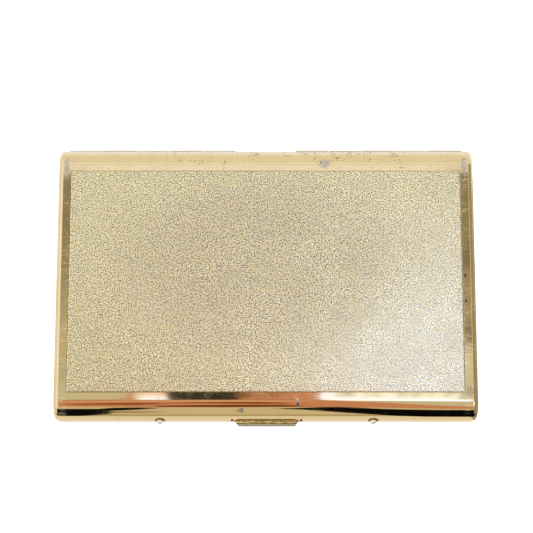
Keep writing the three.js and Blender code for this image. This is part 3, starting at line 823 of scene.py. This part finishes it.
def stippled_gold():
    """Blasted plate with a slightly mixed colour, each grain painted lighter or darker as if it caught the
    light at its own angle. A painted highlight pales it towards the front right, and painted shade greys it
    behind the middle."""
    n = Nodes("stippled_gold")
    x, y = n.axis(0), n.axis(1)
    # Painted highlight: paler towards the front right.
    pale = n.times(n.steps(x, -8, 36), n.steps(y, -16, 36, 1, 0))
    # Painted shade: a soft grey patch behind the middle, on the light and the dark grains.
    middle = n.spot((0, 5, 11), (30, 19, 1000), 0.06, 6, 0.95)
    light = n.blend(pale, rgb(1.0, 0.965, 0.73), rgb(1.0, 1.0, 0.96))
    light = n.blend(n.times(middle, 0.9), light, rgb(0.86, 0.79, 0.61))
    dark = n.blend(n.times(pale, 0.7), rgb(0.22, 0.17, 0.06), rgb(0.58, 0.56, 0.44))
    dark = n.blend(middle, dark, rgb(0.12, 0.10, 0.06))
    # Painted glints: each grain lighter or darker at random.
    grain = n.noise(0.27, 2)
    colour = n.blend(n.steps(grain, 0.405, 0.54), dark, light)
    flecks = n.steps(n.noise(0.33, 1), 0.53, 0.64)
    colour = n.blend(n.times(flecks, 0.5), colour, rgb(0.97, 0.79, 0.36))
    cool = n.steps(n.noise(0.42, 1), 0.55, 0.66)
    colour = n.blend(n.times(cool, 0.38), colour, rgb(0.59, 0.60, 0.61))
    blotches = n.steps(n.noise(2.4, 3), 0.50, 0.70)
    colour = n.blend(n.times(blotches, 0.15), colour, rgb(0.42, 0.38, 0.28))
    roughness = n.steps(n.noise(11, 3), 0.3, 0.7, 0.24, 0.32)
    return n.finish(colour, roughness, n.bump(n.noise(0.2, 2), 0.024, 0.8))


def satin_gold():
    """Brushed plate of the trays and the arm, with lines along the case."""
    n = Nodes("satin_gold")
    lines = n.noise(0.12, 3, stretch=(60, 1, 1))
    cloud = n.noise(14, 3)
    colour = n.blend(n.steps(cloud, 0.3, 0.7), rgb(0.80, 0.66, 0.40), rgb(0.84, 0.72, 0.48))
    colour = n.blend(n.times(n.steps(lines, 0.45, 0.7), 0.25), colour, rgb(0.70, 0.56, 0.32))
    roughness = n.steps(lines, 0.35, 0.7, 0.24, 0.36)
    return n.finish(colour, roughness, n.bump(lines, 0.004, 0.6))


def worn_brass():
    """Bare brass rubbed by thumbs: olive, with bright scratches, dark dirt and a grey tip. Painted shade
    darkens it near the wall, in a line where the nose bends down, and in gaps.
    """
    n = Nodes("worn_brass")
    y = n.axis(1)
    scratches = n.steps(n.noise(0.2, 3, stretch=(6, 1, 1)), 0.47, 0.62)
    dirt_and_shade = n.steps(n.noise(0.8, 4), 0.45, 0.65)
    # Painted shade near the wall.
    root_shade = n.steps(y, -HALF_DEPTH - 0.35, -HALF_DEPTH - 0.05)
    colour = n.blend(scratches, rgb(0.46, 0.36, 0.10), rgb(0.95, 0.86, 0.46))
    colour = n.blend(n.times(dirt_and_shade, 0.4), colour, rgb(0.26, 0.21, 0.07))
    colour = n.blend(n.times(root_shade, 0.15), colour, rgb(0.36, 0.25, 0.05))
    tip = n.steps(y, BUTTON_LOW.y + 0.42, BUTTON_LOW.y + 0.52, 1, 0)
    colour = n.blend(n.times(tip, 0.9), colour, rgb(0.42, 0.41, 0.37))
    # Painted shade: a dark line where the top bends down into the nose.
    nose_bend_shade = n.times(n.steps(y, BUTTON_LOW.y + 0.46, BUTTON_LOW.y + 0.54),
                    n.steps(y, BUTTON_LOW.y + 0.66, BUTTON_LOW.y + 0.74, 1, 0))
    colour = n.blend(n.times(nose_bend_shade, 0.85), colour, rgb(0.09, 0.075, 0.03))
    # Painted shade deep in gaps.
    colour = n.blend(n.crevice_shade(0.3), rgb(0.30, 0.20, 0.04), colour)
    roughness = n.steps(scratches, 0, 1, 0.38, 0.24)
    return n.finish(colour, roughness, n.bump(scratches, 0.008, 0.5))


def bright_steel():
    n = Nodes("bright_steel")
    cloud = n.noise(0.7, 4)
    colour = n.blend(n.steps(cloud, 0.35, 0.65), rgb(0.62, 0.62, 0.58), rgb(0.80, 0.79, 0.74))
    return n.finish(colour, n.steps(cloud, 0.3, 0.7, 0.16, 0.30), n.bump(n.noise(0.2, 2), 0.004, 0.5))


def rivet_steel(x):
    """Dull silvery dome. Its rim keeps old gold plating, painted dark brown as shade against the wall; the
    outer tip of the dome is painted grey as a reflection of the dark things in front, and gaps get painted
    shade.
    """
    n = Nodes("rivet_steel")
    middle = (x, -HALF_DEPTH - RIVET_HEAD_HEIGHT, PARTING_Z + RIVET_RISE)
    bare = n.spot(middle, (0.93, 3, 1.17), 0.01, soft=0.1)
    cloud = n.noise(0.5, 3)
    silver = n.blend(n.steps(cloud, 0.35, 0.65), rgb(0.80, 0.79, 0.72), rgb(0.98, 0.96, 0.90))
    # Painted reflection: the dome's outer tip greyer, for the dark things in front of it.
    low = n.steps(n.axis(1), -HALF_DEPTH - 0.66, -HALF_DEPTH - 0.5, 1, 0)
    silver = n.blend(low, silver, rgb(0.33, 0.34, 0.29))
    # The rim keeps old gold plating, painted dark brown as shade against the wall.
    colour = n.blend(bare, rgb(0.36, 0.21, 0.04), silver)
    # Painted shade deep in gaps.
    colour = n.blend(n.crevice_shade(0.2), rgb(0.12, 0.07, 0.02), colour)
    roughness = n.steps(cloud, 0.3, 0.7, 0.36, 0.48)
    metallic = n.math("SUBTRACT", 1.0, n.times(bare, 0.45))
    return n.finish(colour, roughness, n.bump(n.noise(0.2, 2), 0.003, 0.5), metallic)


def hinge_gold():
    """Thin dull plate on the rolled knuckles, with painted shade between them."""
    n = Nodes("hinge_gold")
    streaks = n.noise(0.5, 3, stretch=(6, 1, 1))
    colour = n.blend(n.steps(streaks, 0.35, 0.65), rgb(0.30, 0.22, 0.10), rgb(0.50, 0.39, 0.20))
    # Painted shade between the knuckles and in other gaps.
    colour = n.blend(n.crevice_shade(0.7), rgb(0.10, 0.06, 0.02), colour)
    return n.finish(colour, n.steps(streaks, 0.3, 0.7, 0.2, 0.34), n.bump(streaks, 0.004, 0.5))


def spring_steel():
    n = Nodes("spring_steel")
    lines = n.noise(0.09, 3, stretch=(30, 1, 1))
    colour = n.blend(n.steps(lines, 0.3, 0.7), rgb(0.30, 0.30, 0.31), rgb(0.44, 0.43, 0.42))
    return n.finish(colour, n.steps(n.noise(1.5, 3), 0.3, 0.7, 0.24, 0.38), n.bump(lines, 0.003, 0.5))


def dress(piece, material):
    piece.data.materials.clear()
    piece.data.materials.append(material)


# ---- Stage: camera, floor, lights and reflectors ----

CAMERA_DISTANCE = 420
CAMERA_ELEVATION = radians(77.45)
CAMERA_AIM = (0.18, 4.38)
CAMERA_LENS = 122.3


def turn_towards(piece, direction):
    """Turns a camera or a lamp to look along a direction."""
    piece.rotation_mode = "QUATERNION"
    piece.rotation_quaternion = direction.to_track_quat("-Z", "Y")


def make_camera():
    """The photo's view: from the front, tilted down at the middle of the case."""
    data = bpy.data.cameras.new("camera")
    data.lens = CAMERA_LENS
    data.sensor_width = 36
    data.clip_start = 0.01
    data.clip_end = 20
    camera = new_object("camera", data)
    towards = Vector((0, cos(CAMERA_ELEVATION), -sin(CAMERA_ELEVATION)))
    aim = Vector((*CAMERA_AIM, PARTING_Z))
    camera.location = (aim - towards * CAMERA_DISTANCE) * MM
    turn_towards(camera, towards)
    bpy.context.scene.camera = camera


FLOOR_GLOW = 0.55
FLOOR_HALF = 2500


def rectangle(half_x, y_low, y_high, z):
    """Four corners of a level rectangle, from the front left."""
    return [(-half_x, y_low, z), (half_x, y_low, z), (half_x, y_high, z), (-half_x, y_high, z)]


def make_floor():
    """White paper that glows, so that the case stands on it with hardly any shadow."""
    floor = mesh_object("floor", rectangle(FLOOR_HALF, -FLOOR_HALF, FLOOR_HALF, 0), [(0, 1, 2, 3)])
    n = Nodes("pale_paper")
    colour = n.blend(n.noise(40, 3), rgb(0.90, 0.90, 0.90), rgb(0.93, 0.93, 0.93))
    n.shader.inputs["Emission Color"].default_value = (1, 1, 1, 1)
    n.shader.inputs["Emission Strength"].default_value = FLOOR_GLOW
    dress(floor, n.finish(colour, 0.7, metallic=0.0))


WORLD_COLOUR = rgb(0.87, 0.825, 0.70)
WORLD_CREAM = rgb(1.02, 1.01, 1.02)
WORLD_DARK = rgb(0.36, 0.30, 0.19)


def make_world():
    """A tan room, creamier high up on the left, and darker on the right except towards the back."""
    world = bpy.data.worlds.new("studio")
    world.use_nodes = True
    n = Graph(world.node_tree)
    direction = n.add("ShaderNodeTexCoord").outputs["Generated"]
    x, y, z = n.add("ShaderNodeSeparateXYZ", Vector=direction).outputs
    high_left = n.times(n.steps(x, -0.30, -0.20, 1, 0), n.steps(z, 0.55, 0.65))
    front_right = n.times(n.steps(x, 0.25, 0.35), n.steps(y, 0.26, 0.4, 1, 0))
    colour = n.blend(high_left, WORLD_COLOUR, WORLD_CREAM)
    colour = n.blend(front_right, colour, WORLD_DARK)
    n.link(colour, n.tree.nodes["Background"].inputs["Color"])
    bpy.context.scene.world = world
    bpy.context.scene.view_settings.view_transform = "Standard"


LAMP_SIZE = 1.4
LAMP_POWER = 22


def soft_light(name, place):
    """A large lamp that lights the floor and the matt surfaces but doesn't show in the polish."""
    data = bpy.data.lights.new(name, "AREA")
    data.shape = "SQUARE"
    data.size = LAMP_SIZE
    data.energy = LAMP_POWER
    lamp = new_object(name, data)
    lamp.location = place
    turn_towards(lamp, -Vector(place))
    lamp.visible_glossy = False


REFLECTOR_DISTANCE = 600
FRONT_ROLL = Vector((0, -30.5, 8.5))
CARD_SPACING = 4
FLOOR_SPACING = 0.2
CARD_STEP = 3


def mirrored_place(x, angle, layer):
    """Where the camera's view lands after meeting the front roll at x, turned to an angle: 0 is level in
    front of the case and 90 straight above it. Views turned below level end near the floor."""
    turn = radians(angle)
    reach = REFLECTOR_DISTANCE - layer * CARD_SPACING
    if angle < 0:
        reach = min(reach, (FRONT_ROLL.z - 1 - layer * FLOOR_SPACING) / sin(-turn))
    spread = 1 + reach / CAMERA_DISTANCE
    return x * spread, FRONT_ROLL.y - reach * cos(turn), FRONT_ROLL.z + reach * sin(turn)


def glowing(name, colour, flecks):
    """A glowing material, with flecks of a second colour if given."""
    n = Nodes(name)
    if flecks is not None:
        streaks = n.steps(n.noise(1.5, 3, stretch=(4, 1, 1)), 0.46, 0.60)
        colour = n.blend(streaks, colour, flecks)
    return n.glow(colour)


def finish_card(card, material):
    """Dresses a card and hides it from the camera and the soft light, so it's only seen in the polish."""
    dress(card, material)
    card.visible_camera = False
    card.visible_diffuse = False
    card.visible_shadow = False


def reflector(name, layer, colour, outline, flecks=None):
    """A coloured card whose outline is given as (x, angle) points of the front roll that mirror it. Its mesh
    is cut into narrow strips so that it bends round the case."""
    mesh = bpy.data.meshes.new(name)
    shape = bmesh.new()
    shape.faces.new([shape.verts.new((x, angle, 0)) for x, angle in outline])
    bmesh.ops.triangulate(shape, faces=shape.faces[:])
    angles = [angle for _, angle in outline]
    for cut in range(ceil(min(angles) / CARD_STEP), ceil(max(angles) / CARD_STEP)):
        bmesh.ops.bisect_plane(shape, geom=shape.verts[:] + shape.edges[:] + shape.faces[:],
                               plane_co=(0, cut * CARD_STEP, 0), plane_no=(0, 1, 0))
    for vertex in shape.verts:
        vertex.co = Vector(mirrored_place(vertex.co.x, vertex.co.y, layer)) * MM
    shape.to_mesh(mesh)
    shape.free()
    finish_card(new_object(name, mesh), glowing(name, colour, flecks))


BLACK = rgb(0.002, 0.002, 0.002)
SKIN = rgb(0.62, 0.28, 0.165)
SKIN_LIGHT = rgb(0.74, 0.40, 0.26)
SKIN_PALE = rgb(1.0, 0.75, 0.55)
SKIN_SHADE = rgb(0.30, 0.11, 0.035)
SKIN_DARK = rgb(0.20, 0.065, 0.012)
WALL_TAN = rgb(0.66, 0.57, 0.39)
WALL_CREAM = rgb(0.64, 0.61, 0.47)
BROWN = rgb(0.30, 0.20, 0.09)
WHITE = rgb(1.3, 1.5, 2.1)


def oblong(x_low, x_high, angle_low, angle_high):
    return [(x_low, angle_low), (x_high, angle_low), (x_high, angle_high), (x_low, angle_high)]


# What the front roll mirrors. Each card has its name, its layer (a higher one is nearer and covers the
# lower ones), its colour, its outline and, on some, the colour of its flecks.

# A pale wall, a table edge and a soft box.
ROOM_CARDS = (
    ("wall_tan", 0, WALL_TAN, oblong(-58, 58, -3, 60)),
    ("softbox_right", 0, rgb(1.9, 2.0, 2.1), oblong(66, 136, 58, 88)),
    ("table_edge", 1, rgb(0.50, 0.42, 0.25), oblong(-58, 58, -15, 0)),
    ("wall_left", 1, WALL_CREAM, oblong(-58, -20, 60, 99.6)),
    ("wall_right", 1, WALL_CREAM, [(22, 96), (52, 96), (52, 52), (36, 60), (22, 74)]),
)
# Warm hands in front of the case, with their lights and shades.
HAND_CARDS = (
    ("hands", 2, SKIN, [
        (-47.5, 96), (-33, 98.5), (-28, 99.6), (12, 99.6), (15, 97), (17, 91), (26, 81), (31, 73), (39, 61),
        (49, 55), (49, 38), (39, 41), (30, 46), (17, 51), (3, 51), (-24, 50), (-49, 55)]),
    ("hands_light", 3, SKIN_LIGHT, [
        (-46, 88), (-30, 92), (-20, 95), (6, 92), (12, 88), (4, 84), (-20, 84), (-46, 82)]),
    ("hands_pale", 4, SKIN_PALE, [(-33, 97.2), (-28, 99.6), (-23, 99.6), (-23, 97), (-30, 96.4)]),
    ("hands_shade", 4, SKIN_SHADE, [
        (-46, 70), (-37, 76), (-30, 79), (-24.5, 78), (-23, 72), (-30, 64), (-46, 65)]),
    ("fingers_shade", 5, SKIN_DARK, [
        (-22, 79), (-12, 82), (-3, 83), (5, 79), (5, 73), (-3, 73), (-12, 75), (-22, 76)]),
    ("palm_shade", 5, SKIN_DARK, [(-25, 61), (-10, 66), (3, 67), (9, 60), (7, 53), (-10, 50), (-25, 52)]),
)
# Dark sleeves below the hands, one with a brown fold.
SLEEVE_CARDS = (
    ("sleeve_left", 6, BLACK, [
        (-140, 42), (-38, 39), (-36, 46), (-30, 49), (-24, 47), (-26, 41), (-31, 31), (-35.5, 27), (-35.5, 3),
        (-38, -5), (-42, -13), (-70, -13), (-140, 4)]),
    ("sleeve_fold", 5, BROWN, [(-37, 23), (-24, 21), (-24, 16), (-37, 12)]),
    ("sleeve_right", 6, BLACK, [
        (3, 43), (8, 46), (12, 51), (17, 51.5), (21, 48), (25, 41), (31, 36), (40, 32), (54, 32), (110, 34),
        (110, 4), (70, -18), (54, -22), (36, -20), (30, -13), (26, -5), (21, 7), (17, 15), (12, 27), (8, 35),
        (3, 39)]),
)
# A dark camera and a bright window, which the flat strip in front of the panel shows.
WINDOW_CARDS = (
    ("camera_dark", 7, rgb(0.014, 0.016, 0.012), [
        (-22.6, 99.8), (-6.6, 99.8), (-5.6, 97.2), (-22.2, 96.6)], rgb(0.07, 0.06, 0.035)),
    ("camera_edge", 7, SKIN_DARK, oblong(-2, 8, 96.4, 97.5)),
    ("window", 8, WHITE, [
        (12.5, 99.6), (13, 96.6), (17, 93), (26, 90.5), (36, 88), (47, 86), (49, 98.2), (44.5, 98.4),
        (44, 99.3)]),
    ("window_left", 8, WHITE, [(-30, 98.66), (-22.8, 98.76), (-22.8, 97.2), (-28, 97)]),
    ("window_frame", 9, rgb(0.60, 0.56, 0.40), [
        (14, 99.6), (16, 98.72), (43.5, 98.66), (44.5, 99.6)], rgb(1.5, 1.5, 1.35)),
    ("camera_strap", 9, rgb(0.10, 0.045, 0.015), [(-6.8, 99.0), (4, 98.86), (5, 98.78), (-6.8, 98.66)]),
)


CEILING_HEIGHT = 600
CEILING_HALF = 58
CEILING_LOW_Y, CEILING_HIGH_Y = -33.5, 86
SIDE_BAND_X = PANEL_HIGH.x - 2.5


def in_bands(n, value, colour, bands):
    """A colour that gives way to the next one between each pair of values."""
    for low, high, following in bands:
        colour = n.blend(n.steps(value, low, high), colour, following)
    return colour


def ceiling_middle(n, x, y):
    """What the panel shows: brighter to the front right, with a soft grey patch in the middle."""
    bright = n.times(n.steps(x, -22, 34), n.steps(y, -20, 16, 1, 0))
    colour = n.blend(bright, rgb(1.20, 1.12, 0.87), rgb(2.7, 2.8, 2.9))
    grey = n.spot((0, 6, 0), (24, 18, 1000), 0.0, soft=0.9)
    return n.blend(n.times(grey, 0.8), colour, rgb(0.52, 0.55, 0.60))


def ceiling_sides(n, y):
    """What the flat strips beside the panel show: dark bands with a faint ripple."""
    left = n.blend(n.steps(y, -16, 9), rgb(0.58, 0.52, 0.35), rgb(0.25, 0.225, 0.13))
    right = in_bands(n, y, rgb(0.72, 0.70, 0.62), [
        (-17, -14.6, rgb(0.20, 0.175, 0.12)), (-12.5, -8, rgb(0.34, 0.29, 0.20)),
        (2.4, 3.4, rgb(0.19, 0.16, 0.10)), (7.5, 9.5, rgb(0.27, 0.22, 0.13))])
    ripple = n.times(n.steps(n.noise(0.8, 4, stretch=(6, 1, 1)), 0.42, 0.62), 0.36)
    return n.blend(ripple, left, rgb(0.42, 0.40, 0.33)), n.blend(ripple, right, rgb(0.40, 0.36, 0.28))


def make_ceiling():
    """The room above the case. The card is drawn the size of the case and scaled up to where flat parts of
    the lid mirror it, so places on it are the places on the lid where they are seen."""
    camera_place = bpy.context.scene.camera.location / MM
    spread = 1 + CEILING_HEIGHT / (camera_place.z - PANEL_HIGH.z)
    card = mesh_object("ceiling", rectangle(CEILING_HALF, CEILING_LOW_Y, CEILING_HIGH_Y, 0), [(0, 1, 2, 3)])
    card.scale = (spread, spread, 1)
    card.location = (0, -camera_place.y * (spread - 1) * MM, (PANEL_HIGH.z + CEILING_HEIGHT) * MM)
    n = Nodes("ceiling")
    x, y = n.axis(0), n.axis(1)
    left, right = ceiling_sides(n, y)
    colour = n.blend(n.steps(y, 23.9, 24.3), ceiling_middle(n, x, y), rgb(0.97, 0.97, 0.97))
    before = n.steps(y, 25.3, 25.8, 1, 0)
    colour = n.blend(n.times(before, n.steps(x, -SIDE_BAND_X - 0.4, -SIDE_BAND_X, 1, 0)), colour, left)
    colour = n.blend(n.times(before, n.steps(x, SIDE_BAND_X, SIDE_BAND_X + 0.4)), colour, right)
    finish_card(card, n.glow(in_bands(n, y, colour, [
        (28.4, 29.5, rgb(0.78, 0.73, 0.56)), (44, 50, rgb(1.02, 1.0, 1.0)), (76, 84, WORLD_COLOUR)])))


MIRROR_HALF = 900
MIRROR_HEIGHT = 0.2
MIRROR_GAP = 0.4


def make_floor_mirror():
    """A tan sheet round the case, just above the floor, that the polish shows instead of the lit floor."""
    inner_y = HALF_DEPTH + MIRROR_GAP
    points = rectangle(MIRROR_HALF, -MIRROR_HALF, MIRROR_HALF, MIRROR_HEIGHT)
    points += rectangle(HALF_LENGTH + MIRROR_GAP, -inner_y, inner_y, MIRROR_HEIGHT)
    card = mesh_object("floor_mirror", points, [(0, 1, 5, 4), (1, 2, 6, 5), (2, 3, 7, 6), (3, 0, 4, 7)])
    n = Nodes("floor_mirror")
    x, y = n.axis(0), n.axis(1)
    colour = n.blend(n.steps(y, 0, HALF_DEPTH), rgb(0.86, 0.78, 0.64), rgb(0.97, 0.98, 1.06))
    beside = n.steps(y, HALF_DEPTH - 4, HALF_DEPTH - 2, 1, 0)
    to_right = n.times(n.steps(x, HALF_LENGTH, HALF_LENGTH + 1), beside)
    finish_card(card, n.glow(n.blend(to_right, colour, rgb(0.36, 0.31, 0.22))))


# ---- Assembly ----


def fit(piece, material, body, slot, *nodes):
    """Gives a piece its material and body, and hides the CAD nodes that it stands for. slot is not used."""
    dress(piece, material)
    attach(piece, body)
    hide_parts(*nodes)


make_camera()
make_world()
make_floor()
soft_light("lamp_left", (-1.0, -0.6, 1.6))
soft_light("lamp_right", (1.0, 0.8, 1.6))
for card in ROOM_CARDS + HAND_CARDS + SLEEVE_CARDS + WINDOW_CARDS:
    reflector(*card)
make_ceiling()
make_floor_mirror()

gold_lid = polished_gold("polished_gold_worn", True)
gold_plain = polished_gold("polished_gold", False)
stippled = stippled_gold()
knuckle_gold = hinge_gold()
satin = satin_gold()
brass = worn_brass()
steel = bright_steel()
spring = spring_steel()

fit(make_shell("lid_shell_skin", 1, latch_slot()), gold_lid, "lid", "gold_polished", "lid_shell")
fit(make_shell("base_shell_skin", -1), gold_plain, "base", "gold_polished", "base_shell")
fit(make_panel("lid_panel_stipple", 1, 11), stippled, "lid", "gold_stippled", "lid_panel")
fit(make_panel("base_panel_stipple", -1, 12), stippled, "base", "gold_stippled", "base_panel")
fit(make_base_liner(), satin, "base", "gold_satin", "base_liner")
fit(make_lid_liner(), satin, "lid", "gold_satin", "lid_liner")

LEAVES = (("base", "left", -1, 1), ("base", "right", -1, 0), ("lid", "left", 1, 0), ("lid", "right", 1, 1))
for body, side, up, first_knuckle in LEAVES:
    leaf = make_leaf(body, side, up, first_knuckle)
    fit(leaf, knuckle_gold, body, "gold_polished", f"hinge_{body}_{side}")
for side in ("left", "right"):
    node = "hinge_pin_" + side
    fit(make_pin(node + "_round", node, 0.25), steel, "base", "steel_bright", node)

fit(make_button(), brass, "latch", "brass_worn", "latch_button")
for side, reach in ((-1, -24), (1, 24)):
    strip = make_latch_spring(side)
    dress(strip, spring)
    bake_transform(strip)
    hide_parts("latch_spring")
for side in ("left", "right"):
    node = "latch_rivet_" + side
    x = (box_mm(node)[0].x + box_mm(node)[1].x) / 2
    fit(make_latch_rivet(node + "_dome", x), rivet_steel(x), "lid", "steel_bright", node)

fit(make_card_arm(), satin, "card_arm", "gold_satin", "card_arm")
fit(make_arm_spring(), spring, "card_arm", "steel_spring", "arm_spring")
fit(make_pin("arm_pin_round", "arm_pin", 0.4), steel, "base", "steel_bright", "arm_pin")

kept = {"keeper": steel, "bracket_rivet_left": steel, "bracket_rivet_right": steel, "arm_bracket": satin}
for node, material in kept.items():
    dress(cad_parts[node], material)
    round_edges(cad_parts[node])
